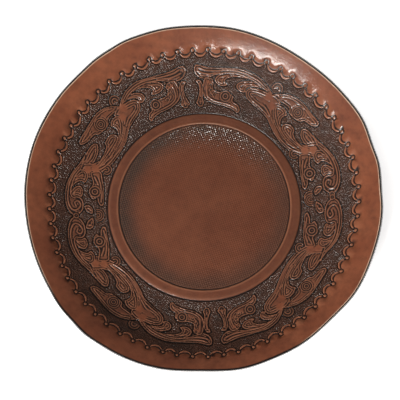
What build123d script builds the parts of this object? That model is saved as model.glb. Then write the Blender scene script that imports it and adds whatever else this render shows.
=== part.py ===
"""Round tray of tooled leather: two layers of leather moulded into a shallow dish over a floor board.

The axis of the tray is Z. The origin is the centre of the flat base, which the tray stands on.
The near side of the tray is -Y. Lengths are in millimetres and angles in degrees.
"""
import os
from math import atan, cos, degrees, radians, sin, tan

from build123d import *

# Layers, from the table up
LINING_THICKNESS = 1.4
BOARD_THICKNESS = 1.6
FACE_THICKNESS = 3.0

# Dish, as the grain surface of the tooled face shows it
BEND_START = 88.0       # the floor is flat out to here
WALL_REACH = 65.5       # from the start of the bend to the border, across
WALL_RISE = 20.0        # the same, upwards
BASE_RADIUS = 80.0      # flat disc of the lining that touches the table
OVERHANG = 215.0        # the moulded blank, before its edge is cut

# Lip, cut by hand: places of its upper corner as (direction, distance from the axis)
LIP = (
    (0, 175.5), (6, 175.5), (12, 176.5), (18, 175.5), (26, 177), (35, 176), (45, 175), (55, 174.5),
    (65, 175.5), (75, 177), (82, 178), (90, 178), (100, 179), (107, 180), (116, 180), (122, 181),
    (127, 179), (133, 178), (142, 178), (149, 178.5), (160, 177.5), (171, 178), (180, 176.5),
    (188, 175.5), (200, 176), (212, 176.5), (219, 178.5), (223, 180.5), (230, 179), (236, 179.5),
    (246, 178), (254, 177.5), (261, 175), (269, 173), (275, 174), (281, 175.5), (292, 174.5),
    (302, 175), (318, 174), (326, 176), (338, 175.5), (350, 176),
)
KNIFE_LOW = 10.0
KNIFE_HIGH = 70.0

# Worked out from the above
FLOOR_TOP = LINING_THICKNESS + BOARD_THICKNESS + FACE_THICKNESS
BEND_RADIUS = (WALL_REACH**2 + WALL_RISE**2) / (2 * WALL_RISE)
WALL_SLOPE = 2 * degrees(atan(WALL_RISE / WALL_REACH))
RIM_TAN = tan(radians(WALL_SLOPE))
SKIVE_TOP = LINING_THICKNESS + BOARD_THICKNESS


def knife_point(angle, corner, level):
    """Point of the cut at a level, for a lip corner at that distance from the axis.

    The knife stood square to the rim at the far side and upright at the near side.
    """
    lean = RIM_TAN * (1 + sin(radians(angle))) / 2
    corner_level = FLOOR_TOP + WALL_RISE + (corner - BEND_START - WALL_REACH) * RIM_TAN
    reach = corner - (level - corner_level) * lean
    return reach * cos(radians(angle)), reach * sin(radians(angle))


def wall_line(depth):
    """The dish's wall at a depth under the grain surface: the bend, then the straight rim."""
    bend = JernArc(
        start=(BEND_START, FLOOR_TOP - depth),
        tangent=(1, 0),
        radius=BEND_RADIUS + depth,
        arc_size=WALL_SLOPE,
    )
    rim_run = (OVERHANG - (bend @ 1).X) / cos(radians(WALL_SLOPE))
    rim = Line(bend @ 1, bend @ 1 + (bend % 1) * rim_run)
    return bend, rim


# The knife's path around the lip, as the solid of all that is kept
with BuildPart() as lip_cut:
    for level in (KNIFE_LOW, KNIFE_HIGH):
        with BuildSketch(Plane.XY.offset(level)):
            with BuildLine():
                Spline(*[knife_point(angle, corner, level) for angle, corner in LIP], periodic=True)
            make_face()
    loft(ruled=True)
    with BuildSketch(Plane.XY):
        Circle(BEND_START + WALL_REACH)
    extrude(amount=KNIFE_LOW)

# Tooled face: the thick grain leather that is seen from above
with BuildPart() as tooled_face:
    with BuildSketch(Plane.XZ):
        with BuildLine():
            upper_bend, upper_rim = wall_line(0)
            lower_bend, lower_rim = wall_line(FACE_THICKNESS)
            Line(upper_rim @ 1, lower_rim @ 1)
            Polyline(upper_bend @ 0, (0, FLOOR_TOP), (0, SKIVE_TOP), lower_bend @ 0)
        make_face()
    revolve(axis=Axis.Z)
    add(lip_cut.part, mode=Mode.INTERSECT)
tooled_face.part.label = "tooled_face"

# Floor board: leatherboard under the flat floor, its edge skived away so that it doesn't show through
with BuildPart() as floor_board:
    with BuildSketch(Plane.XZ):
        with BuildLine():
            Polyline(
                (0, LINING_THICKNESS),
                (BASE_RADIUS, LINING_THICKNESS),
                (BEND_START, SKIVE_TOP),
                (0, SKIVE_TOP),
                close=True,
            )
        make_face()
    revolve(axis=Axis.Z)
floor_board.part.label = "floor_board"

# Back lining: thin split leather, glued over the board and up the whole back of the wall
with BuildPart() as back_lining:
    with BuildSketch(Plane.XZ):
        with BuildLine():
            glued_bend, glued_rim = wall_line(FACE_THICKNESS)
            outer_bend, outer_rim = wall_line(FACE_THICKNESS + LINING_THICKNESS)
            Line(glued_rim @ 1, outer_rim @ 1)
            Polyline(
                glued_bend @ 0,
                (BASE_RADIUS, LINING_THICKNESS),
                (0, LINING_THICKNESS),
                (0, 0),
                (BASE_RADIUS, 0),
                outer_bend @ 0,
            )
        make_face()
    revolve(axis=Axis.Z)
    add(lip_cut.part, mode=Mode.INTERSECT)
back_lining.part.label = "back_lining"

os.makedirs("parts", exist_ok=True)
for piece in (tooled_face, floor_board, back_lining):
    export_step(piece.part, f"parts/{piece.part.label}.step")
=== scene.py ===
"""Round tray of tooled leather on a pale table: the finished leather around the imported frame.

The tray's axis is Z and its near side is -Y. The tooling is worked out in millimetres and degrees,
as on the bench, and each finished mesh is in metres.
"""

from math import atan, cos, degrees, hypot, pi, radians, sin, tan

import bpy
import numpy as np
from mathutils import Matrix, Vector, geometry


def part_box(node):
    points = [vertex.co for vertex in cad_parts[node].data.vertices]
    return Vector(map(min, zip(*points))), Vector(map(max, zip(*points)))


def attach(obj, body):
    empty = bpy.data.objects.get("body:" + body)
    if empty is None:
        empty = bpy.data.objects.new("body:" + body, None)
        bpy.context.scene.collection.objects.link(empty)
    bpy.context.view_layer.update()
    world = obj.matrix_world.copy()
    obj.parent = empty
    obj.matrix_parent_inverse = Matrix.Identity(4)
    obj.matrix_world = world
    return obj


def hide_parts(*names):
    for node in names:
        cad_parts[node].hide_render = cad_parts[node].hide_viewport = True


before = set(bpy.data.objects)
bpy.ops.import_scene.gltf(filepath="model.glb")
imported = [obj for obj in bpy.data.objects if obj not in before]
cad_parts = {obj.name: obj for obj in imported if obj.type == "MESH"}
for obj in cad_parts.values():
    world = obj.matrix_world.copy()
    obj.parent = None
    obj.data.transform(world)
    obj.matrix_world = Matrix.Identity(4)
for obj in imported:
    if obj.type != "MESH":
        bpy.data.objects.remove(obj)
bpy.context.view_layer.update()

MM = 0.001
HAND = np.random.default_rng(7)         # the small unevenness of work done by hand

# The dish, as the grain surface of the leather shows it
FACE_THICKNESS = 3.0
LINING_THICKNESS = 1.4
BEND_START = 88.0                       # the floor is flat out to here
WALL_REACH = 65.5                       # from the start of the bend to the straight rim, across
WALL_RISE = 20.0                        # the same, upwards
BASE_RADIUS = 80.0                      # flat disc that the tray stands on
FLOOR_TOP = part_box("tooled_face")[0][2] / MM + FACE_THICKNESS
SKIVE_TOP = FLOOR_TOP - FACE_THICKNESS
BEND_RADIUS = (WALL_REACH**2 + WALL_RISE**2) / (2 * WALL_RISE)
RIM_SLOPE = 2 * atan(WALL_RISE / WALL_REACH)
RIM_START = BEND_START + WALL_REACH

# The rings of the pattern, from the middle out
CHECK_EDGE = 84.3                       # the last whole check of the floor
FLOOR_EDGE = 85.6                       # groove around the checked floor
RING_IN = 87.0
RING_OUT = 96.2
BAND_IN = 97.2                          # groove, then the matted ground of the band
BORDER = 155.8                          # circle of the ring punches
RING_LINES = (84.5, 85.1, 85.6, 86.2, 86.8, 87.5, 88.6, 90.4, 92.4, 94.2, 95.4, 96.2, 96.8, 97.4, 98.2)

# The border: ring punches, and between each two a crescent, which is the sickle between two arcs.
# An arc's centre is that far outside the circle of the punches.
PUNCHES = 65
PUNCH = 2.2                             # radius of the ring punch
BORDER_PITCH = 360 / PUNCHES
OUTER_CENTRE = 0.3
OUTER_RIDGE = 5.4
OUTER_CUT = 6.9
INNER_CENTRE = 3.8
INNER_CUT = 7.1
HAND_SLIP = 0.22                        # how far a punch lands off its mark, in degrees or mm

# The lip, from where the rim rolls outwards to the swollen and dyed edge
LIP_STEPS = 360
LIP_TURN = np.arange(LIP_STEPS) * 360 / LIP_STEPS
ROLL_START = 159.0
ROLL = 0.0045                           # drop of the rolled rim, for each square mm past its start
EDGE_SWELL = 1.25                       # how far the wetted edge has swollen past the cut
EDGE_ROUND = 1.6                        # where the rounding of the lip's corner starts
NEAR_SIDE = 258                         # direction in which the lip's corner gets no painted highlight and is made darker
NEAR_SPAN = 52                          # so far to both sides of it, in degrees

# Heights of the tooling over the untouched leather
FLOOR_LEVEL = -0.85
FLOOR_SWEEP = 0.0012                    # how the floor's edge turns up towards the ring
CHECK_PITCH = 2.1
CHECK_HEIGHT = 0.095
CHECK_TURN = radians(18)                # the rows of the check run that much aslant
RING_LEVEL = 0.45
GROUND_LEVEL = -0.75
LEAF_LEVEL = 0.0
CORD_IN = 0.72                          # crest of a leaf's edge cord, inside its outline
CORD_HEIGHT = 0.34
CORD_WIDTH = 0.45
FLUTE = 1.15                            # from a cord's crest to the hollow beside it
VEIN_GAP = 1.2                          # from a vein's crest to the cuts at its sides
ECHOES = (3.0, 5.3)                     # crests of the second and third cords at a leaf's tip
FULL_STAIN = 0.36                       # a hollow of this depth holds all the stain that it can
FULL_WEAR = 0.3                         # a crest of this height is rubbed right down

# The relief is worked out on a fine square map over the whole tray
MAP_STEP = 0.25
MAP_HALF = 184.0
map_line = np.arange(-MAP_HALF, MAP_HALF + MAP_STEP, MAP_STEP)
MAP_X, MAP_Y = np.meshgrid(map_line, map_line)
MAP_REACH = np.hypot(MAP_X, MAP_Y)
MAP_TURN = np.degrees(np.arctan2(MAP_Y, MAP_X)) % 360
# FAR_SIDE also lays the painted highlight on the ring's inner edge
FAR_SIDE = np.maximum(np.cos(np.radians(MAP_TURN - 80)), 0) ** 2     # struck harder and less evenly here


def ease(share):
    """A smooth step from 0 to 1."""
    share = np.clip(share, 0, 1)
    return share * share * (3 - 2 * share)


def bell(distance, width):
    """A smooth bump of height 1."""
    return np.exp(-((distance / width) ** 2))


def moulded_height(reach):
    """Height of the grain surface as it was moulded, at a distance from the axis."""
    bend = FLOOR_TOP + BEND_RADIUS - np.sqrt(np.maximum(BEND_RADIUS**2 - (reach - BEND_START) ** 2, 0))
    rim = FLOOR_TOP + WALL_RISE + (reach - RIM_START) * tan(RIM_SLOPE)
    return np.where(reach < BEND_START, FLOOR_TOP, np.where(reach < RIM_START, bend, rim))


def surface_height(reach):
    """The same, with the lip rolled outwards by use."""
    return moulded_height(reach) - ROLL * np.maximum(reach - ROLL_START, 0) ** 2


def surface_slope(reach):
    """Slope of that surface, as an angle in radians."""
    moulded = np.arcsin(np.clip((np.minimum(reach, RIM_START) - BEND_START) / BEND_RADIUS, 0, 1))
    return np.arctan(np.tan(moulded) - 2 * ROLL * np.maximum(reach - ROLL_START, 0))


def border_reach(turn):
    """Distance of the punched border from the axis: a hand-marked circle, a little oval."""
    oval = 2.2 * np.cos(np.radians(2 * (turn - 72)))
    shift = 0.8 * np.cos(np.radians(turn - 166))
    corners = 0.7 * np.cos(np.radians(3 * (turn - 11)))
    return BORDER + oval + shift + corners


# Leaf scrolls of a quarter of the band. Places are (degrees from the quarter's start, mm from the axis).
# A leaf is an outline, its veins, and the tip that the edge cord is echoed around (a place and how far).
# A later leaf lies over the earlier ones.
LEAVES = (
    (   # first hook under the crest
        ((23, 139.5), (17.5, 138.2), (13, 135.5), (10.9, 130.5), (12.3, 126), (15.3, 124.6), (17.6, 126.6),
         (16.2, 129.5), (17.6, 133), (21.5, 135.8), (27, 137)),
        (((22, 137.6), (17, 136), (13.6, 132), (13.6, 128), (15.4, 127)),),
        ((14, 128), 9),
    ),
    (   # second hook
        ((29, 137), (24.5, 134.8), (21.7, 131.3), (21.2, 126.8), (23.3, 123.3), (25.8, 124.6), (25.2, 127.8),
         (27, 131), (31, 134)),
        (((29.5, 134.8), (25.4, 132.4), (23.4, 129.6), (23.5, 126)),),
        ((23.4, 127), 9),
    ),
    (   # crest that sweeps up from the axis and down to the notch
        ((36, 132.3), (33.5, 137), (28.5, 141.8), (22, 143.8), (15, 142), (8, 141.2), (2.2, 144),
         (0.8, 139.5), (2, 133.5), (5, 130.5), (8.5, 132), (13, 135.5), (20, 138), (27, 136.5),
         (31.5, 133.5)),
        (
            ((3.4, 141), (6, 138.6), (11, 138.6), (17, 140.6), (23, 141.2), (29, 138.6), (33.5, 134.5)),
            ((3, 137.5), (5.5, 135.7), (9, 135.3), (13, 137.2)),
            ((4, 134.2), (6.5, 133.2), (8.5, 134)),
        ),
        None,
    ),
    (   # second crest, past the notch
        ((36, 132.3), (39, 138), (43, 142), (48, 143.5), (54, 142.5), (58.5, 142.3), (59.3, 138.5),
         (57.5, 134.5), (54, 132.3), (53, 129.3), (50, 126.7), (46.5, 127.6), (45, 131.3), (41, 131.5)),
        (
            ((39.5, 136), (43, 139.6), (48, 141), (54, 140.2), (57.6, 140)),
            ((53.5, 137.6), (55.5, 137.3), (57.6, 137.5)),
            ((54.2, 135.2), (56.4, 135.2)),
        ),
        ((56.5, 138.5), 8),
    ),
    (   # hook at the root of the scroll
        ((68, 131), (61, 131), (57, 129.6), (55.8, 125.5), (57.8, 120.8), (61.3, 119.3), (64.3, 121.3),
         (69, 126.5)),
        (
            ((67, 128.9), (61.5, 128.9), (58.3, 127.2), (58, 124.4)),
            ((67.3, 126.4), (62.2, 126.3), (60.2, 124)),
        ),
        ((59.5, 125), 9),
    ),
    (   # stem: a club head at the left, then the long belly along the floor ring
        ((35.5, 132.8), (28.8, 131.3), (25.8, 127.5), (26, 121), (29, 116.7), (34, 113.7), (39, 110.8),
         (43, 106.6), (48, 102.8), (54, 101.2), (60, 102.8), (64, 106.8), (67.3, 111), (70, 117), (71, 124),
         (69, 130), (65.5, 130), (64, 125), (62.5, 119), (58, 112.5), (52, 110), (46.5, 112.5), (42.5, 118),
         (40.5, 124), (41, 130), (38, 133)),
        (
            ((34.5, 129.4), (30.4, 128.8), (28.2, 126), (28.6, 122.2)),
            ((36, 126.6), (32.5, 126), (30.8, 123.8), (32, 121.2), (36, 118.8), (40, 114.5)),
            ((28.9, 119.4), (33, 117), (38, 114), (42, 109.8), (46, 106.3), (51, 103.9), (57, 104.2),
             (61.5, 107.2), (64.8, 112.5)),
        ),
        ((29.5, 125), 10),
    ),
    (   # curl that rises out of the stem
        ((46.3, 125), (44.2, 128.3), (41, 128.6), (39, 125.5), (39.7, 119.5), (43, 113), (48, 108.3),
         (54, 106), (60, 108), (64.5, 113.5), (57, 110.3), (51, 110.6), (47.2, 114), (45.6, 118.5),
         (45.6, 122)),
        (
            ((44.4, 122.6), (43, 126), (41.2, 125), (41.3, 120.5), (44.3, 114.5), (48.7, 110.2), (54, 108.2)),
        ),
        ((42.4, 124.5), 8),
    ),
    (   # kidney in the bend of the curl
        ((49, 111.5), (48, 116.5), (50.3, 120.8), (53.8, 120.3), (55, 117), (58.5, 115.3), (62.5, 116.8),
         (66, 121.5), (65, 115), (60.5, 111.5), (54.5, 109.6)),
        (
            ((50.7, 112.5), (50.3, 116.7), (52, 118.4)),
            ((52.6, 113), (57.5, 112.7), (62.5, 115)),
        ),
        ((51, 116.5), 8),
    ),
    (   # foot of the scroll, with a blunt end
        ((65.5, 111), (69, 106.2), (74, 102.9), (80, 101.3), (84, 101), (84.9, 104.5), (82.5, 107.5),
         (80.3, 108.6), (81.5, 112), (79.7, 115.9), (76.5, 117), (73.3, 115), (70.5, 117.5), (67.8, 120)),
        (
            ((69.3, 110.4), (73, 106.4), (78, 104), (82.6, 103.8)),
            ((69.6, 114.6), (71.4, 111.4), (73, 109.4)),
        ),
        None,
    ),
    (   # first lobe under the scroll
        ((74, 137), (70, 133.5), (67.7, 127.8), (68.7, 122.2), (71.6, 120.6), (74, 122.6), (73.6, 127),
         (75.3, 131.7), (78, 136)),
        (((73.4, 133), (70.8, 128.4), (71.1, 123.6)),),
        ((71, 124.5), 9),
    ),
    (   # second lobe
        ((80.5, 137), (76.8, 132.5), (75.5, 127.5), (76.8, 123.7), (79.3, 122.8), (81, 124.8), (80.5, 129),
         (82, 135)),
        (((79.8, 132.6), (78, 128), (78.5, 125.4)),),
        ((78.4, 126.5), 8),
    ),
    (   # scroll
        ((61, 131), (66, 133.7), (70, 137.2), (75, 140.3), (80, 141.2), (85, 139.8), (88.5, 136),
         (89.7, 131), (89.1, 125.5), (86.8, 121.6), (83.4, 121.6), (81.2, 124.6), (80.8, 129), (81.2, 133),
         (78, 134.6), (72, 132.8), (67, 129.3)),
        (((66.5, 131.4), (71, 135.6), (76, 138.2), (81, 138.4), (85, 136.4), (87.3, 132.4), (87, 127.6),
          (84.8, 124.6), (83, 127.4), (84, 130.6), (85.6, 129)),),
        None,
    ),
    (   # foot of the axis leaf
        ((5.8, 131.5), (4.7, 122.5), (5.3, 114.5), (8, 109.8), (12, 107.2), (17, 106.4), (22, 104.9),
         (24.8, 102.6), (25.8, 106.5), (24, 111), (21.3, 113), (21.2, 117), (18.5, 120.5), (14.5, 119.6),
         (11.3, 120.6), (10.3, 124), (10.5, 128.5), (8.5, 131.8)),
        (
            ((7.6, 129), (7, 121.5), (7.6, 114.8), (10.5, 110.9), (14, 109.4), (19, 109), (23.6, 106.5)),
            ((9, 125.5), (9.2, 118.5), (11, 114.6)),
        ),
        ((23.5, 107), 6),
    ),
    (   # small leaf by the side axis
        ((85.4, 121), (84.5, 116.5), (86.3, 112.3), (89.2, 112.3), (88.8, 115.8), (87.7, 119)),
        (((86.6, 118.5), (86.4, 115.5), (87.6, 113.8)),),
        None,
    ),
    (   # waisted column by the top axis
        ((1.2, 129), (2.6, 124.5), (2.7, 118), (1.7, 112), (0.7, 107.6), (3.3, 105), (5.8, 107.4),
         (5, 112), (5.1, 118), (5, 125), (3.4, 130)),
        (((3.3, 127), (3.9, 121), (3.6, 114)),),
        None,
    ),
)

# Eyes, struck with a ring stamp: place and radius
EYES = (((17.6, 115.8), 5.6), ((49.4, 133.6), 6.6), ((77.2, 111.3), 6.0), ((90, 129.5), 2.9))

# Shells, struck as arcs: place, radius, and the direction in which they bulge (1 out, -1 in)
SHELLS = (((36.4, 139.3), 5.8, 1), ((63.4, 105.6), 5.4, -1), ((90, 107.5), 6.6, -1), ((3.3, 107), 3.2, -1),
          ((8.9, 129), 2.3, 1), ((9.0, 124.6), 2.3, 1), ((9.4, 120.2), 2.3, 1), ((11.4, 116), 2.3, 1))

# Places where the bodies of the leaves run together and are left smooth
MERGES = (((35, 129.6), 4.2), ((38.4, 123.5), 3.6), ((65, 116.5), 4.4), ((67, 123.5), 3.8), ((8.4, 127), 2.6))

# The quarters: direction of the start, sense of turning, and where the worker's marks came to lie
# (first number: degrees in the drawing, second: degrees on the tray)
QUARTERS = (
    (95, -1, ((0, 0), (17.6, 15.6), (36, 36.3), (63, 63.5), (86, 86), (90, 90))),
    (95, 1, ((0, 1.8), (17.6, 20), (36, 35), (50, 47), (63, 63.5), (86, 86), (90, 90))),
    (275, 1, ((0, 1), (17.6, 18.2), (36, 31.5), (50, 46), (63, 60.5), (77, 71.5), (86, 83), (90, 88.5))),
    (275, -1, ((0, 1), (17.6, 16), (36, 34), (50, 47.5), (63, 62), (77, 75.5), (86, 84.5), (90, 90))),
)

top_leaf = np.zeros(MAP_X.shape, dtype=int)      # number of the leaf that shows, 0 on the ground
rubbed = np.zeros_like(MAP_X)                    # where the stain was rubbed back off the leaves
seeds = []                                       # lines of points that the mesh must follow


def smooth_line(places, closed, step=1.0):
    """A smooth line through a few places, with points about one step apart."""
    ends = [places[-1]] + list(places) + [places[0], places[1]] if closed else None
    if not closed:
        first = 2 * np.array(places[0]) - np.array(places[1])
        last = 2 * np.array(places[-1]) - np.array(places[-2])
        ends = [first] + list(places) + [last]
    points = np.array(ends, dtype=float)
    line = []
    for before, start, end, after in zip(points[:-3], points[1:-2], points[2:-1], points[3:]):
        parts = max(2, int(np.ceil(np.hypot(*(end - start)) / step)))
        share = np.arange(parts)[:, None] / parts
        line.append(0.5 * (
            2 * start
            + (end - before) * share
            + (2 * before - 5 * start + 4 * end - after) * share**2
            + (3 * start - before - 3 * end + after) * share**3
        ))
    line.append(points[1:2] if closed else points[-2:-1])
    return np.vstack(line)


def in_plan(turn, reach):
    """Places in plan, in those directions and at those distances from the axis."""
    return np.column_stack((reach * np.cos(np.radians(turn)), reach * np.sin(np.radians(turn))))


def on_tray(places, quarter):
    """Places of the drawing, laid on one quarter of the tray, in plan."""
    start, sense, drift = quarter
    along, reach = np.array(places, dtype=float).T
    drawn, struck = np.array(drift, dtype=float).T
    turn = start + sense * np.interp(along, drawn, struck)
    stretch = (border_reach(turn) - BAND_IN) / (BORDER - BAND_IN)
    return in_plan(turn, BAND_IN + (reach - BAND_IN) * stretch)


def map_window(points, margin):
    """The part of the map around some points."""
    low = np.floor((points.min(axis=0) - margin + MAP_HALF) / MAP_STEP).astype(int)
    high = np.ceil((points.max(axis=0) + margin + MAP_HALF) / MAP_STEP).astype(int) + 1
    return slice(low[1], high[1]), slice(low[0], high[0])


def distance_to(line, reach, spot):
    """Distance of each place in a window to a line, up to the reach."""
    whole = np.full(MAP_X[spot].shape, float(reach))
    top = spot[0].start
    left = spot[1].start
    for start, end in zip(line[:-1], line[1:]):
        rows, columns = map_window(np.array((start, end)), reach)
        part = (
            slice(max(rows.start, top), min(rows.stop, spot[0].stop)),
            slice(max(columns.start, left), min(columns.stop, spot[1].stop)),
        )
        run = end - start
        east = MAP_X[part] - start[0]
        north = MAP_Y[part] - start[1]
        share = np.clip((east * run[0] + north * run[1]) / max(run @ run, 1e-9), 0, 1)
        away = np.hypot(east - share * run[0], north - share * run[1])
        here = (
            slice(part[0].start - top, part[0].stop - top),
            slice(part[1].start - left, part[1].stop - left),
        )
        whole[here] = np.minimum(whole[here], away)
    return whole


def inside_of(line, spot):
    """Which places of a window are inside a closed line."""
    inside = np.zeros(MAP_X[spot].shape, dtype=bool)
    levels = map_line[spot[0]]
    columns = map_line[spot[1]]
    for (x0, y0), (x1, y1) in zip(line[:-1], line[1:]):
        rows = np.nonzero((levels > y0) != (levels > y1))[0]
        if len(rows):
            crossing = x0 + (levels[rows] - y0) * (x1 - x0) / (y1 - y0)
            inside[rows] ^= columns[None, :] < crossing[:, None]
    return inside


def follow(line, offsets, leaf, closed):
    """Leaves lines of mesh points along a stroke, at some distances to its left. Ranks say which win."""
    back = np.roll(line, 1, axis=0)
    ahead = np.roll(line, -1, axis=0)
    if closed:
        back[0] = line[-2]
        ahead[-1] = line[1]
    else:
        back[0] = line[0]
        ahead[-1] = line[-1]
    run = ahead - back
    run /= np.maximum(np.hypot(run[:, 0], run[:, 1]), 1e-9)[:, None]
    left = np.column_stack((-run[:, 1], run[:, 0]))
    for rank, offset in offsets:
        seeds.append((rank, leaf, offset, line + left * offset))


def strike_leaf(number, outline, veins, tip):
    """Carves a leaf: a cut around it, a cord along its edge, a rounded body and its veins."""
    step = np.diff(outline, axis=0)
    if np.sum(outline[:-1, 0] * step[:, 1] - outline[:-1, 1] * step[:, 0]) < 0:
        outline = outline[::-1]
    spot = map_window(outline, 3.0)
    away = distance_to(outline, 8.0, spot)
    inside = inside_of(outline, spot)
    body = LEAF_LEVEL + 0.25 * ease((away - 1.5) / 1.5)
    shoulder = GROUND_LEVEL - 0.35 + (body - GROUND_LEVEL + 0.35) * ease(away / 0.75)
    leaf = shoulder + CORD_HEIGHT * bell(away - CORD_IN, CORD_WIDTH)
    leaf -= 0.42 * bell(away - CORD_IN - FLUTE, CORD_WIDTH)
    plain = 1.0
    lines = ((0, CORD_IN), (1, -0.5), (2, CORD_IN + FLUTE), (3, 0.1), (4, 1.3), (5, -1.3))
    if tip:
        centre, far = tip
        around = ease(1.6 - np.hypot(MAP_X[spot] - centre[0], MAP_Y[spot] - centre[1]) / far)
        plain = 1 - around
        for echo in ECHOES:
            leaf += around * CORD_HEIGHT * bell(away - echo, CORD_WIDTH)
            leaf -= around * 0.45 * bell(away - echo - FLUTE, CORD_WIDTH)
            lines += ((1, echo), (2, echo + FLUTE))
    if veins:
        nearest = np.full(away.shape, 3.0)
        for vein in veins:
            nearest = np.minimum(nearest, distance_to(vein, 3.0, spot))
        fade = ease((away - 0.9) / 0.6) * plain
        leaf += fade * (0.3 * bell(nearest, CORD_WIDTH) - 0.5 * bell(nearest - VEIN_GAP, CORD_WIDTH))
    cut = relief[spot] - 0.45 * bell(away - 0.5, 0.55)
    relief[spot] = np.where(inside, leaf, cut)
    top_leaf[spot][inside] = number
    follow(outline, lines, number, True)
    for vein in veins:
        follow(vein, ((0, 0), (1, VEIN_GAP), (1, -VEIN_GAP), (4, 0.6), (4, -0.6)), number, False)


def circle(centre, radius, step=1.0, start=0.0, sweep=360.0):
    """Points of a circle or of an arc."""
    parts = max(6, int(np.ceil(radians(sweep) * radius / step)))
    turn = np.radians(start + sweep * np.arange(parts + 1) / parts)
    return np.column_stack((centre[0] + radius * np.cos(turn), centre[1] + radius * np.sin(turn)))


def strike_eye(number, centre, radius):
    """Strikes rings within rings, with a bead in the middle."""
    spot = map_window(centre[None, :], radius + 2)
    away = np.hypot(MAP_X[spot] - centre[0], MAP_Y[spot] - centre[1])
    rings = max(1, round(radius / 2.6))
    pitch = (radius - 0.6) / rings
    rounds = -0.2 + 0.5 * np.cos(2 * pi * away / pitch)
    edge = ease((radius - away + 0.3) / 0.6)
    around = relief[spot] - 0.5 * bell(away - radius - 0.5, 0.55)
    relief[spot] = around + (rounds - around) * edge
    top_leaf[spot][away < radius] = number
    matted[spot] *= 1 - edge
    seeds.append((0, number, 0, centre[None, :]))
    for half in range(1, 2 * rings + 1):
        seeds.append((0, number, 1, circle(centre, half * pitch / 2, 0.9)))
    seeds.append((1, number, -1, circle(centre, radius + 0.5, 1.1)))


def strike_shell(number, centre, radius, bulge):
    """Strikes arcs within arcs: half of an eye, open towards the leaf that it grows from."""
    spot = map_window(centre[None, :], radius + 2)
    east = MAP_X[spot] - centre[0]
    north = MAP_Y[spot] - centre[1]
    outward = bulge * (east * centre[0] + north * centre[1]) / hypot(*centre)
    away = np.hypot(east, north)
    rings = max(1, round(radius / 2.5))
    pitch = (radius - 0.5) / rings
    rounds = -0.25 + 0.45 * np.cos(2 * pi * away / pitch)
    edge = ease((radius - away + 0.3) / 0.6) * ease((outward + 1.6) / 1.2)
    around = relief[spot] - 0.5 * bell(away - radius - 0.5, 0.55) * ease((outward + 1.6) / 1.2)
    relief[spot] = around + (rounds - around) * edge
    top_leaf[spot][edge > 0.5] = number
    face = degrees(np.arctan2(bulge * centre[1], bulge * centre[0]))
    seeds.append((0, number, 0, centre[None, :]))
    for half in range(1, 2 * rings + 1):
        seeds.append((0, number, 1, circle(centre, half * pitch / 2, 0.9, face - 105, 210)))
    seeds.append((1, number, -1, circle(centre, radius + 0.5, 1.1, face - 95, 190)))


def lay_out_rings():
    """The checked floor, the plain ring around it and the sunk ground of the band, as three maps.

    They are the relief, where the ground was matted, and where the stain pooled.
    """
    across = MAP_X * cos(CHECK_TURN) + MAP_Y * sin(CHECK_TURN)
    along = MAP_Y * cos(CHECK_TURN) - MAP_X * sin(CHECK_TURN)
    check = np.cos(2 * pi * across / CHECK_PITCH) + np.cos(2 * pi * along / CHECK_PITCH)
    inner = 1 - ease((MAP_REACH - FLOOR_EDGE + 1.2) / 1.0)
    depth = CHECK_HEIGHT * (1 + (0.2 + 0.7 * FAR_SIDE) * ease((MAP_REACH - 45) / 30))
    floor = FLOOR_LEVEL + (1 + 2.4 * FAR_SIDE) * FLOOR_SWEEP * np.maximum(MAP_REACH - 68, 0) ** 2
    floor += depth * check * inner
    ring = RING_LEVEL - 0.25 * ((MAP_REACH - (RING_IN + RING_OUT) / 2) / 5) ** 2
    height = floor + (ring - floor) * ease((MAP_REACH - FLOOR_EDGE - 0.1) / 1.1)
    height += (GROUND_LEVEL - height) * ease((MAP_REACH - RING_OUT + 1.4) / 3.4)
    height -= 0.35 * bell(MAP_REACH - FLOOR_EDGE, 0.5)
    height += 0.4 * bell(MAP_REACH - RING_IN - 0.2, 0.5)
    height -= 0.2 * bell(MAP_REACH - BAND_IN, 0.9)
    plain_rim = ease((MAP_REACH - BORDER - 4) / 1.0)
    height *= 1 - plain_rim
    ground = ease((MAP_REACH - BAND_IN) / 1.2) * (1 - plain_rim)
    return height, ground, 0.6 * bell(MAP_REACH - BAND_IN - 0.3, 0.7)


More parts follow.
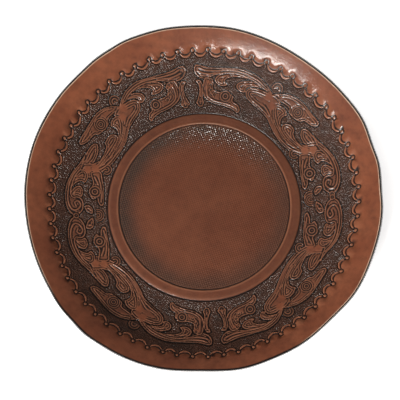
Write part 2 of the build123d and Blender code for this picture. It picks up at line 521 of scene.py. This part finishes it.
def strike_border():
    """The border: crescents that hang inwards, with a ring punch between each two."""
    spot = (MAP_REACH > BORDER - 14) & (MAP_REACH < BORDER + 9)
    reach = MAP_REACH[spot]
    turn = MAP_TURN[spot]
    line = border_reach(turn)
    marks = np.arange(PUNCHES + 1)
    drift = np.append(HAND.normal(0, HAND_SLIP, PUNCHES), 0)
    drift[-1] = drift[0]
    sway = np.append(HAND.normal(0, HAND_SLIP, PUNCHES), 0)
    sway[-1] = sway[0]
    slot = turn / BORDER_PITCH
    shifted = slot * BORDER_PITCH + np.interp(slot, marks, drift)
    number = np.round(shifted / BORDER_PITCH)
    side = np.radians(shifted - number * BORDER_PITCH) * reach
    rise = reach - line - np.interp(slot, marks, sway)
    half = np.radians((np.floor(shifted / BORDER_PITCH) + 0.5) * BORDER_PITCH - shifted) * reach
    outer = np.hypot(half, rise - OUTER_CENTRE)
    inner = np.hypot(half, rise - INNER_CENTRE)
    pad = -0.15 + 0.26 * bell(outer - OUTER_RIDGE, 0.6) + 0.16 * bell(inner - INNER_CUT - 1.1, 0.5)
    pad *= ease((inner - INNER_CUT + 0.7) / 0.8)
    pad -= bell(inner - INNER_CUT, 0.65)
    sunk = pad + (GROUND_LEVEL - pad) * ease((outer - OUTER_CUT + 0.8) / 0.8)
    sunk -= 0.5 * bell(outer - OUTER_CUT, 0.55)
    height = sunk * ease(0.6 - rise)
    punch = np.hypot(side, rise)
    height += (-0.1 - height) * ease((PUNCH + 1.1 - punch) / 0.6)
    height -= 1.2 * bell(punch - PUNCH, 0.65)
    relief[spot] = np.where(rise > -9.5, height, relief[spot])
    matted[spot] *= ease((outer - OUTER_CUT + 0.2) / 0.8) * ease(-rise)
    pooled[spot] = 0.9 * bell(punch - PUNCH, 0.8) + 0.6 * bell(inner - 7, 0.9) * ease(-rise / 1.5)
    for index in range(PUNCHES):
        seed_border(index, drift, sway)


def seed_border(index, drift, sway):
    """Lines of mesh points for one punch and the crescent after it."""
    def place(number, east, north):
        turn = number * BORDER_PITCH - np.interp(number % PUNCHES, np.arange(PUNCHES + 1), drift)
        centre = border_reach(turn) + np.interp(number % PUNCHES, np.arange(PUNCHES + 1), sway)
        reach = centre + north
        turn = np.radians(turn) + east / reach
        return np.column_stack((reach * np.cos(turn), reach * np.sin(turn)))

    def leave(rank, centre, radius, start, sweep, number):
        line = circle(centre, radius, 1.1, start, sweep)
        seeds.append((rank, 0, 0, place(number, line[:, 0], line[:, 1])))

    for rank, radius in ((0, 0.0), (0, PUNCH / 2), (0, PUNCH), (1, 3.0)):
        leave(rank, (0, 0), radius, 0, 360, index)
    for rank, radius in ((1, 6.4), (0, INNER_CUT), (1, 7.75), (2, 8.4)):
        leave(rank, (0, INNER_CENTRE), radius, 212, 116, index + 0.5)
    for rank, radius in ((1, OUTER_RIDGE), (2, 6.15), (0, OUTER_CUT), (2, 7.7)):
        leave(rank, (0, OUTER_CENTRE), radius, 182, 176, index + 0.5)


def tool_band():
    """Strikes the leaf scrolls, the eyes and the shells in all four quarters."""
    number = 0
    for quarter in QUARTERS:
        nudge = HAND.normal(0, 0.15, (len(LEAVES), 2))
        for (outline, veins, tip), shift in zip(LEAVES, nudge):
            number += 1
            if tip:
                tip = on_tray(tip[:1], quarter)[0], tip[1]
            line = smooth_line(on_tray(outline, quarter), True) + shift
            lines = [smooth_line(on_tray(vein, quarter), False) + shift for vein in veins]
            strike_leaf(number, line, lines, tip)
        for place, radius in MERGES:
            centre = on_tray((place,), quarter)[0]
            spot = map_window(centre[None, :], radius * 1.6)
            share = ease(1.5 - np.hypot(MAP_X[spot] - centre[0], MAP_Y[spot] - centre[1]) / radius)
            share = share * (top_leaf[spot] > 0)
            relief[spot] += (0.15 - relief[spot]) * share
            rubbed[spot] = np.maximum(rubbed[spot], share)
        for place, radius, bulge in SHELLS:
            number += 1
            strike_shell(number, on_tray((place,), quarter)[0], radius, bulge)
        for place, radius in EYES:
            number += 1
            strike_eye(number, on_tray((place,), quarter)[0], radius)


def antiquing():
    """How much dark stain was left on the leather: most in the band and around the floor's edge."""
    band = ease((MAP_REACH - BAND_IN + 1) / 3) * ease((border_reach(MAP_TURN) - 3 - MAP_REACH) / 6)
    leaves = 1 - 0.75 * rubbed
    stain = band * np.where(top_leaf > 0, 0.48 * leaves, 0.0)
    stain += 0.3 * ease((MAP_REACH - RING_IN + 1) / 3) * ease((BAND_IN + 1 - MAP_REACH) / 3)
    side = 0.8 + 0.2 * np.cos(np.radians(MAP_TURN - 150))
    floor = ease((MAP_REACH - 58) / 24) ** 1.3 * side * (MAP_REACH < FLOOR_EDGE + 0.5)
    return stain + floor


def blurred(sheet, width):
    """The map, blurred by three runs of a box of that width in mm."""
    half = max(1, int(round(width / MAP_STEP / 2)))
    size = 2 * half + 1
    for _ in range(3):
        for axis in (0, 1):
            pad = [(half + 1, half) if side == axis else (0, 0) for side in (0, 1)]
            total = np.cumsum(np.pad(sheet, pad, mode="edge"), axis=axis)
            length = total.shape[axis]
            upper = np.take(total, range(size, length), axis=axis)
            lower = np.take(total, range(length - size), axis=axis)
            sheet = (upper - lower) / size
    return sheet


def look_up(sheet, points):
    """Values of a map at places in plan."""
    spot = (points + MAP_HALF) / MAP_STEP
    spot = np.clip(spot, 0, len(map_line) - 1.001)
    column, row = spot.astype(int).T
    east, north = (spot - spot.astype(int)).T
    low = sheet[row, column] * (1 - east) + sheet[row, column + 1] * east
    high = sheet[row + 1, column] * (1 - east) + sheet[row + 1, column + 1] * east
    return low * (1 - north) + high * north


def lip_corner(node, depth):
    """The lip's corner at a depth under the grain surface: its distance from the axis, all round."""
    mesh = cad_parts[node].data
    on_cut = set()
    for face in mesh.polygons:
        out = face.center.xy.length
        if out > RIM_START * MM and face.normal.xy.dot(face.center.xy) > 0.75 * out:
            on_cut.update(face.vertices)
    places = np.array([mesh.vertices[i].co[:] for i in sorted(on_cut)]) / MM
    reach = np.hypot(places[:, 0], places[:, 1])
    turn = np.degrees(np.arctan2(places[:, 1], places[:, 0]))
    under = (moulded_height(reach) - places[:, 2]) * cos(RIM_SLOPE)
    corner = np.nonzero(np.abs(under - depth) < 0.15)[0]
    corner = corner[np.argsort(turn[corner])]
    return np.interp(LIP_TURN, turn[corner], reach[corner], period=360)


def sow(points_near):
    """The mesh points of the grain surface in plan: the seeds first, then filling, none too close."""
    accepted = []
    taken = {}
    cell = 0.5

    def offer(x, y, gap):
        column = int(x // cell)
        row = int(y // cell)
        spread = int(gap // cell) + 1
        for i in range(column - spread, column + spread + 1):
            for j in range(row - spread, row + spread + 1):
                for px, py in taken.get((i, j), ()):
                    if (px - x) ** 2 + (py - y) ** 2 < gap * gap:
                        return
        taken.setdefault((column, row), []).append((x, y))
        accepted.append((x, y))

    for x, y in points_near:
        offer(x, y, 0.01)
    for rank in range(6):
        for own, leaf, offset, line in seeds:
            if own != rank:
                continue
            column = ((line + MAP_HALF) / MAP_STEP).round().astype(int)
            column = np.clip(column, 0, len(map_line) - 1)
            showing = top_leaf[column[:, 1], column[:, 0]]
            keep = (showing == leaf) if leaf and offset >= 0 else (showing <= leaf) | (leaf == 0)
            for x, y in line[keep]:
                offer(x, y, 0.55)
    for x, y, gap in filling():
        offer(x, y, gap)
    return np.array(accepted)


def filling():
    """Points between the strokes: rings, checks of the floor, ground and the plain rim."""
    for inset in (EDGE_ROUND + 0.1, EDGE_ROUND + 1):
        for turn, lip in zip(np.radians(LIP_TURN), lip_upper):
            yield (lip - inset) * cos(turn), (lip - inset) * sin(turn), 0.8
    for reach in RING_LINES:
        for x, y in circle((0, 0), reach, 1.25)[:-1]:
            yield x, y, 0.5
    half = CHECK_PITCH / 2
    count = int(FLOOR_EDGE / half) + 2
    for i in range(-count, count + 1):
        for j in range(-count, count + 1):
            x = (i * cos(CHECK_TURN) - j * sin(CHECK_TURN)) * half
            y = (i * sin(CHECK_TURN) + j * cos(CHECK_TURN)) * half
            if hypot(x, y) < CHECK_EDGE:
                yield x, y, 0.5
    for spacing, inner, outer in ((1.25, BAND_IN + 1, BORDER - 4), (2.6, BORDER + 3.4, 190.0)):
        for row in range(int(2 * outer / spacing / 0.87) + 1):
            y = -outer + row * spacing * 0.87
            for step in range(int(2 * outer / spacing) + 1):
                x = -outer + (step + (row % 2) / 2) * spacing
                reach = hypot(x, y)
                turn = degrees(np.arctan2(y, x)) % 360
                edge = lip_upper[int(turn / 360 * LIP_STEPS) % LIP_STEPS] - EDGE_ROUND - 2
                if inner < reach < min(outer, edge):
                    yield x, y, spacing * 0.62


def highlight_side(turn):
    """Where a highlight is painted on the lip's corner: all round but at the near side."""
    return 1 - ease((NEAR_SPAN - np.abs(turn - NEAR_SIDE)) / 15)


def darker_near_side(turn):
    """How much darker the lip's corner is made: most at the near side, where it gets no painted highlight."""
    return 0.5 * (1 - highlight_side(turn))


def wall_point(reach, depth):
    """Point of the wall at a depth under the grain surface, as (distance from the axis, height)."""
    lean = float(surface_slope(reach))
    return reach + depth * sin(lean), float(surface_height(reach)) - depth * cos(lean)


def lay_grain(edge):
    """The grain surface: its places in plan, its carved points, its triangles and its outer loop."""
    plan = sow(in_plan(LIP_TURN, edge))
    rim = [(i, (i + 1) % LIP_STEPS) for i in range(LIP_STEPS)]
    flat, _, faces, source, _, _ = geometry.delaunay_2d_cdt([Vector(p) for p in plan], rim, [], 1, 1e-6)
    plan = np.array([tuple(place) for place in flat])
    kept_as = {old: new for new, olds in enumerate(source) for old in olds}
    reach = np.hypot(plan[:, 0], plan[:, 1])
    height = look_up(relief, plan)
    uneven = 0.02 + 0.06 * look_up(FAR_SIDE, plan) * ease((reach - 55) / 20)
    height += HAND.normal(0, 1, len(plan)) * uneven * (reach < CHECK_EDGE)
    slope = surface_slope(reach)
    scale = (reach - height * np.sin(slope)) / np.maximum(reach, 1e-9)
    level = surface_height(reach) + height * np.cos(slope)
    grain = np.column_stack((plan[:, 0] * scale, plan[:, 1] * scale, level))
    return plan, grain, [tuple(face) for face in faces], [kept_as[i] for i in range(LIP_STEPS)]


def corner_curve(start, corner, end, shares):
    """Loops that round a corner between two loops, as (distance from the axis, height) pairs."""
    return [
        (1 - share) ** 2 * start + 2 * share * (1 - share) * corner + share**2 * end
        for share in shares
    ]


def under_loops(start, upper, lower, inward):
    """Loops from the worn corner of the lip down its cut edge, and back under the sheet to the middle."""
    cut = lower - upper
    cut /= np.hypot(cut[:, 0], cut[:, 1])[:, None]
    loops = corner_curve(start, upper, upper + cut * 0.75, (0.25, 0.5, 0.75, 1.0))
    loops.append((upper + lower) / 2)
    loops += corner_curve(lower - cut * 0.45, lower, lower + inward * 0.45, (0.0, 0.35, 0.7, 1.0))
    for reach in (168, 160, 152, 144, 136, 128, 120, 112, 104, 96, BEND_START):
        loops.append(np.tile(wall_point(reach, FACE_THICKNESS), (LIP_STEPS, 1)))
    loops.append(np.tile((BEND_START / 2, SKIVE_TOP), (LIP_STEPS, 1)))
    return loops


def make_face():
    """The tooled face: one closed sheet of thick leather, from the carved grain to its flesh side."""
    inward = np.array((-cos(RIM_SLOPE), -sin(RIM_SLOPE)))
    upper = np.column_stack((lip_upper, surface_height(lip_upper)))
    lower = np.column_stack((lip_lower, surface_height(lip_lower) - FACE_THICKNESS / cos(RIM_SLOPE)))
    start = upper + inward * EDGE_ROUND
    plan, grain, faces, previous = lay_grain(start[:, 0])
    points = [grain]
    base = len(plan)
    for loop in under_loops(start, upper, lower, inward):
        points.append(np.column_stack((in_plan(LIP_TURN, loop[:, 0]), loop[:, 1])))
        current = list(range(base, base + LIP_STEPS))
        for i in range(LIP_STEPS):
            j = (i + 1) % LIP_STEPS
            faces.append((previous[i], current[i], current[j], previous[j]))
        previous = current
        base += LIP_STEPS
    points.append(np.array(((0, 0, SKIVE_TOP),)))
    for i in range(LIP_STEPS):
        faces.append((previous[i], base, previous[(i + 1) % LIP_STEPS]))

    mesh = bpy.data.meshes.new("tooled_face")
    mesh.from_pydata((np.vstack(points) * MM).tolist(), [], faces)
    mesh.validate()
    piece = bpy.data.objects.new("tooled_face_leather", mesh)
    bpy.context.scene.collection.objects.link(piece)
    mesh.shade_smooth()
    for polygon in mesh.polygons:       # each check glints by itself
        if polygon.center.xy.length < (CHECK_EDGE - 0.2) * MM and polygon.center.z > SKIVE_TOP * MM:
            polygon.use_smooth = False
    finish_face(mesh, plan, start[:, 0])
    return piece


def finish_face(mesh, plan, edge):
    """Lays on the points what the stain, the wear, the matting, the edge dye, the painted highlights and the
    darkening towards the near side go by.
    """
    def spread(top, below=0.0):
        return np.concatenate((top, np.full(len(mesh.vertices) - len(plan), below)))

    reach = np.hypot(plan[:, 0], plan[:, 1])
    turn = np.degrees(np.arctan2(plan[:, 1], plan[:, 0])) % 360
    # Mask of the lip's corner, for its painted highlight and its darkening towards the near side
    lip_line = bell(np.interp(turn, LIP_TURN, edge, period=360) - reach, 0.3)
    # Painted highlight on the ring's inner edge, at the far side
    ring_highlight = 0.6 * bell(reach - RING_IN + 0.2, 0.4) * look_up(FAR_SIDE, plan)
    hollow = look_up(cavity, plan)
    hollow[reach < CHECK_EDGE] *= 0.6
    values = {
        "hollow": spread(np.clip(hollow / FULL_STAIN + look_up(pooled, plan), 0, 1), 1.0),
        "worn": spread(np.clip(-hollow / FULL_WEAR, 0, 1)),
        "matted": spread(look_up(matted_ground, plan)),
        "checked": spread((1 - 0.35 * ease((reach - FLOOR_EDGE + 0.8) / 0.8)) * (reach < RING_OUT + 1)),
        "antique": spread(look_up(stained, plan)),
        # Painted highlights: on the lip's corner and on the ring's inner edge
        "painted_highlight": spread(lip_line * highlight_side(turn) + ring_highlight),
        # The lip's corner made darker towards the near side; below it, the dyed cut edge
        "edge": spread(lip_line * darker_near_side(turn), 1.0),
    }
    values["hollow"][len(plan):len(plan) + LIP_STEPS] = 0.15
    for name, value in values.items():
        layer = mesh.attributes.new(name, "FLOAT", "POINT")
        layer.data.foreach_set("value", value.astype(np.float32))


def deselect():
    """Leaves nothing selected."""
    if bpy.context.object and bpy.context.object.mode != "OBJECT":
        bpy.ops.object.mode_set(mode="OBJECT")
    bpy.ops.object.select_all(action="DESELECT")


# The back lining
BACK = FACE_THICKNESS + LINING_THICKNESS
LINING_LOOPS = (88, 92, 100, 110, 120, 130, 140, 150, 160)
LAST_LOOP = 170


def make_lining():
    """The back lining: a thin skin, turned up from its base disc to the lip and folded back inside."""
    deselect()
    bpy.ops.mesh.primitive_circle_add(vertices=180, radius=BASE_RADIUS * MM, location=(0, 0, 0))
    piece = bpy.context.object
    piece.name = "back_lining_leather"
    stations = [(BASE_RADIUS, 0.0)]
    stations += [wall_point(reach, BACK) for reach in LINING_LOOPS + (168, LAST_LOOP)]
    stations += [wall_point(reach, FACE_THICKNESS) for reach in (LAST_LOOP,) + LINING_LOOPS[::-1]]
    stations += [(BASE_RADIUS, LINING_THICKNESS)]
    bpy.ops.object.mode_set(mode="EDIT")
    bpy.ops.mesh.select_mode(type="EDGE")
    bpy.ops.mesh.select_all(action="SELECT")
    bpy.ops.mesh.edge_face_add()
    bpy.ops.mesh.select_all(action="SELECT")
    bpy.ops.mesh.region_to_loop()
    for (reach, height), (next_reach, next_height) in zip(stations[:-1], stations[1:]):
        rise = (next_height - height) * MM
        bpy.ops.mesh.extrude_edges_move(TRANSFORM_OT_translate={"value": (0, 0, rise)})
        grow = next_reach / reach
        bpy.ops.transform.resize(value=(grow, grow, 1), center_override=(0, 0, 0))
    bpy.ops.mesh.edge_face_add()
    bpy.ops.mesh.select_all(action="SELECT")
    bpy.ops.mesh.normals_make_consistent(inside=False)
    bpy.ops.object.mode_set(mode="OBJECT")
    trim_lining(piece)
    bpy.ops.object.shade_smooth_by_angle(angle=radians(40))
    piece.data.name = "back_lining_leather"
    return piece


def trim_lining(piece):
    """Draws the lining's last two loops out to the hand-cut lip, and dyes them."""
    last_loops = ((BACK, lining_lower), (FACE_THICKNESS, lip_lower))
    dyed = piece.data.attributes.new("edge", "FLOAT", "POINT")
    for vertex in piece.data.vertices:
        x, y, z = (value / MM for value in vertex.co)
        reach = hypot(x, y)
        turn = degrees(np.arctan2(y, x)) % 360
        for depth, lip in last_loops:
            station = wall_point(LAST_LOOP, depth)
            if abs(reach - station[0]) < 0.05 and abs(z - station[1]) < 0.05:
                new_reach = float(np.interp(turn, LIP_TURN, lip, period=360)) - 0.12
                new_height = float(surface_height(new_reach)) - depth / cos(RIM_SLOPE)
                vertex.co = (x * new_reach / reach * MM, y * new_reach / reach * MM, new_height * MM)
                dyed.data[vertex.index].value = 1.0


# Materials

def new_material(name):
    """An empty material: itself, its node tree, its shader, and places on the piece in metres."""
    material = bpy.data.materials.new(name)
    material.use_nodes = True
    tree = material.node_tree
    tree.nodes.clear()
    shader = tree.nodes.new("ShaderNodeBsdfPrincipled")
    output = tree.nodes.new("ShaderNodeOutputMaterial")
    tree.links.new(shader.outputs["BSDF"], output.inputs["Surface"])
    return material, tree, shader, tree.nodes.new("ShaderNodeTexCoord").outputs["Object"]


def feed(socket, value):
    """Gives an input what it works with: another node's output, a number or a colour."""
    if isinstance(value, bpy.types.NodeSocket):
        socket.id_data.links.new(value, socket)
    elif isinstance(value, tuple):
        socket.default_value = value + (1.0,)
    else:
        socket.default_value = value


def set_up(node, **values):
    """Feeds some of a node's inputs by name, where an underscore stands for a space."""
    for name, value in values.items():
        feed(node.inputs[name.replace("_", " ")], value)
    return node


def noise(tree, place, scale, detail=3.0, roughness=0.55):
    """Cloudy noise, with its scale per metre."""
    node = tree.nodes.new("ShaderNodeTexNoise")
    return set_up(node, Vector=place, Scale=scale, Detail=detail, Roughness=roughness).outputs["Fac"]


def grain_cells(tree, place, scale):
    """Cells of leather grain: the distance to the nearest crease."""
    node = tree.nodes.new("ShaderNodeTexVoronoi")
    node.feature = "DISTANCE_TO_EDGE"
    return set_up(node, Vector=place, Scale=scale).outputs["Distance"]


def remap(tree, value, low, high, to_low=0.0, to_high=1.0):
    """A value brought from one range to another, and held in it."""
    node = tree.nodes.new("ShaderNodeMapRange")
    set_up(node, Value=value, From_Min=low, From_Max=high, To_Min=to_low, To_Max=to_high)
    return node.outputs["Result"]


def calculate(tree, operation, first, second):
    """Arithmetic on two values."""
    node = tree.nodes.new("ShaderNodeMath")
    node.operation = operation
    feed(node.inputs[0], first)
    feed(node.inputs[1], second)
    return node.outputs["Value"]


def blend_colours(tree, share, first, second):
    """A mix of two colours."""
    node = tree.nodes.new("ShaderNodeMix")
    node.data_type = "RGBA"
    feed(node.inputs[0], share)
    for socket, value in zip((s for s in node.inputs if s.type == "RGBA"), (first, second)):
        feed(socket, value)
    return next(s for s in node.outputs if s.type == "RGBA")


def painted(tree, name):
    """A value laid on the piece's points."""
    node = tree.nodes.new("ShaderNodeAttribute")
    node.attribute_name = name
    return node.outputs["Fac"]


def raise_bump(tree, height, distance, strength, under=None):
    """A bump of a height given in metres."""
    node = set_up(tree.nodes.new("ShaderNodeBump"), Strength=strength, Distance=distance, Height=height)
    if under is not None:
        feed(node.inputs["Normal"], under)
    return node.outputs["Normal"]


# Colours of the leather, as light is reflected by it
TAN = (0.250, 0.078, 0.036)
RUSSET = (0.172, 0.047, 0.021)
STAIN = (0.008, 0.0045, 0.0035)
GREY_STAIN = (0.036, 0.019, 0.0135)
FLOOR_DYE = (0.070, 0.015, 0.004)
WORN = (0.33, 0.145, 0.078)
# Painted highlight on the lip's corner and on the ring's inner edge
LIP_HIGHLIGHT = (0.80, 0.58, 0.43)
# Dark of the dyed cut edges, also laid on the lip's corner towards the near side
EDGE_DARK = (0.007, 0.004, 0.003)


def face_leather():
    """Vegetable-tanned leather: antiqued, so that stain stays in the hollows, burnished and lacquered."""
    material, tree, shader, place = new_material("face_leather")
    clouds = noise(tree, place, 26.0, 4.0, 0.6)
    mottle = noise(tree, place, 140.0, 4.0, 0.6)
    patches = noise(tree, place, 60.0, 3.0, 0.6)
    hollow = painted(tree, "hollow")
    worn = painted(tree, "worn")
    matting = painted(tree, "matted")
    antique = painted(tree, "antique")
    hide = blend_colours(tree, remap(tree, clouds, 0.35, 0.68), TAN, RUSSET)
    hide = blend_colours(tree, remap(tree, mottle, 0.42, 0.78, 0.0, 0.35), hide, STAIN)
    hide = blend_colours(tree, calculate(tree, "MULTIPLY", painted(tree, "checked"), 0.55), hide, FLOOR_DYE)
    stained = calculate(tree, "MULTIPLY", antique, remap(tree, patches, 0.3, 0.7, 0.75, 1.15))
    hide = blend_colours(tree, stained, hide, GREY_STAIN)
    ground = calculate(tree, "MULTIPLY", matting, remap(tree, patches, 0.3, 0.7, 0.8, 1.0))
    hide = blend_colours(tree, ground, hide, GREY_STAIN)
    hide = blend_colours(tree, calculate(tree, "MULTIPLY", worn, 0.5), hide, WORN)
    hide = blend_colours(tree, remap(tree, hollow, 0.1, 0.6, 0.0, 0.97), hide, STAIN)
    # Painted highlight: a near-white line on the lip's corner, all round but the near side, and one on the
    # ring's inner edge at the far side
    painted_highlight = remap(tree, painted(tree, "painted_highlight"), 0.25, 1.0)
    painted_highlight = calculate(tree, "MULTIPLY", painted_highlight, remap(tree, mottle, 0.3, 0.6, 0.5, 0.9))
    hide = blend_colours(tree, painted_highlight, hide, LIP_HIGHLIGHT)
    # The dyed cut edges, and the lip's corner made darker towards the near side
    hide = blend_colours(tree, remap(tree, painted(tree, "edge"), 0.0, 0.4), hide, EDGE_DARK)

    pores = grain_cells(tree, place, 1100.0)
    skin = raise_bump(tree, remap(tree, pores, 0.0, 0.25), 0.00006, 0.4)
    ripple = raise_bump(tree, noise(tree, place, 420.0, 3.0, 0.6), 0.0004, 0.35, skin)
    pits = calculate(tree, "MULTIPLY", noise(tree, place, 900.0, 1.0, 0.5), matting)
    beaten = raise_bump(tree, pits, 0.0016, 1.0, ripple)
    dullness = remap(tree, mottle, 0.3, 0.75, 0.45, 0.6)
    set_up(shader, Base_Color=hide, Normal=beaten, Roughness=dullness, Specular_IOR_Level=0.25)
    set_up(shader, Coat_Normal=beaten, Coat_Weight=0.88, Coat_Roughness=0.1)
    return material


def lining_leather():
    """Split leather for the back: napped, matt, dyed dark brown."""
    material, tree, shader, place = new_material("lining_leather")
    clouds = remap(tree, noise(tree, place, 22.0, 5.0, 0.65), 0.32, 0.7)
    nap = noise(tree, place, 900.0, 4.0, 0.7)
    hide = blend_colours(tree, clouds, (0.060, 0.022, 0.011), (0.100, 0.040, 0.020))
    hide = blend_colours(tree, remap(tree, nap, 0.35, 0.8, 0.0, 0.5), hide, (0.150, 0.066, 0.034))
    hide = blend_colours(tree, remap(tree, painted(tree, "edge"), 0.3, 0.8), hide, EDGE_DARK)
    fibres = raise_bump(tree, nap, 0.0005, 0.8)
    creases = raise_bump(tree, noise(tree, place, 180.0, 4.0, 0.6), 0.0008, 0.4, fibres)
    dullness = remap(tree, nap, 0.3, 0.8, 0.7, 0.95)
    set_up(shader, Base_Color=hide, Normal=creases, Roughness=dullness, Specular_IOR_Level=0.2)
    set_up(shader, Sheen_Weight=0.06, Sheen_Roughness=0.5)
    return material


def leatherboard():
    """Ground leather and latex, pressed to board: pale brown flecks in a darker ground."""
    material, tree, shader, place = new_material("leatherboard")
    flecks = noise(tree, place, 700.0, 2.0, 0.6)
    board = blend_colours(tree, remap(tree, flecks, 0.4, 0.65), (0.16, 0.09, 0.05), (0.27, 0.17, 0.10))
    pressed = raise_bump(tree, flecks, 0.0002, 0.6)
    set_up(shader, Base_Color=board, Normal=pressed, Roughness=remap(tree, flecks, 0.3, 0.7, 0.75, 0.9))
    return material


def table_top():
    """Plain pale board that also glows a little by itself, for the table and the backdrop."""
    material, tree, shader, place = new_material("pale_table")
    tone = remap(tree, noise(tree, place, 3.0, 2.0, 0.5), 0.3, 0.7)
    paper = blend_colours(tree, tone, (0.86, 0.86, 0.86), (0.90, 0.90, 0.90))
    set_up(shader, Base_Color=paper, Roughness=0.9, Specular_IOR_Level=0.1)
    set_up(shader, Emission_Color=(1.0, 1.0, 1.0), Emission_Strength=0.8)
    return material


# Camera, light and table

AIM = Vector((-4.3, 2.9, 20.75)) * MM
CAMERA_RISE = radians(75.5)
CAMERA_AWAY = 3.0
TABLE_SIZE = 10
BACKDROP_RADIUS = 4.8
BACKDROP_HEIGHT = 1.2


def add_camera():
    """A long lens, high over the near side."""
    away = Vector((0, -cos(CAMERA_RISE), sin(CAMERA_RISE))) * CAMERA_AWAY
    camera = bpy.data.cameras.new("camera")
    camera.lens = 270
    camera.sensor_width = 36
    camera.clip_end = 20
    eye = bpy.data.objects.new("camera", camera)
    eye.location = AIM + away
    eye.rotation_euler = away.to_track_quat("Z", "Y").to_euler()
    bpy.context.scene.collection.objects.link(eye)
    bpy.context.scene.camera = eye


def add_lamp(name, towards, away, width, height, power):
    """A soft lamp that faces the tray."""
    light = bpy.data.lights.new(name, "AREA")
    light.shape = "RECTANGLE"
    light.size = width
    light.size_y = height
    light.energy = power
    light.color = (1.0, 0.975, 0.93)
    lamp = bpy.data.objects.new(name, light)
    place = Vector(towards).normalized() * away
    lamp.location = place
    lamp.rotation_euler = place.to_track_quat("Z", "Y").to_euler()
    bpy.context.scene.collection.objects.link(lamp)
    return lamp


def add_surroundings():
    """Lamps, a white room, the table and an open backdrop around it."""
    add_lamp("key_lamp", (-0.40, -0.71, 0.56), 1.6, 0.72, 0.36, 32)
    fill = add_lamp("fill_lamp", (-0.33, 0.05, 1.0), 2.2, 1.2, 1.2, 17)
    fill.visible_glossy = False
    world = bpy.data.worlds.new("white_room")
    world.use_nodes = True
    world.node_tree.nodes["Background"].inputs["Color"].default_value = (1, 1, 1, 1)
    world.node_tree.nodes["Background"].inputs["Strength"].default_value = 0.11
    bpy.context.scene.world = world
    bpy.context.scene.view_settings.view_transform = "Standard"
    deselect()
    bpy.ops.mesh.primitive_plane_add(size=TABLE_SIZE, location=(0, 0, 0))
    table = bpy.context.object
    table.name = "table"
    pale = table_top()
    table.data.materials.append(pale)
    bpy.ops.mesh.primitive_cylinder_add(
        vertices=96,
        radius=BACKDROP_RADIUS,
        depth=BACKDROP_HEIGHT,
        end_fill_type="NOTHING",
        location=(0, 0, BACKDROP_HEIGHT / 2),
    )
    backdrop = bpy.context.object
    backdrop.name = "backdrop"
    backdrop.data.materials.append(pale)
    backdrop.visible_diffuse = False
    backdrop.visible_glossy = False


add_camera()
relief, matted, pooled = lay_out_rings()
tool_band()
strike_border()
cavity = blurred(relief, 1.5) - relief
matted_ground = matted * (top_leaf == 0)
stained = antiquing()
lip_upper = lip_corner("tooled_face", 0.0)
lip_lower = lip_corner("tooled_face", FACE_THICKNESS)
lining_lower = lip_corner("back_lining", FACE_THICKNESS + LINING_THICKNESS)
swell = EDGE_SWELL + 0.5 * np.cos(np.radians(LIP_TURN - 225))
for lip in (lip_upper, lip_lower, lining_lower):
    lip += swell

face = make_face()
face.data.materials.append(face_leather())
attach(face, "root")
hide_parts("tooled_face")

lining = make_lining()
lining.data.materials.append(lining_leather())
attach(lining, "root")
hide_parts("back_lining")

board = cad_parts["floor_board"]
board_finish = leatherboard()
for slot in board.material_slots:
    slot.material = board_finish

add_surroundings()
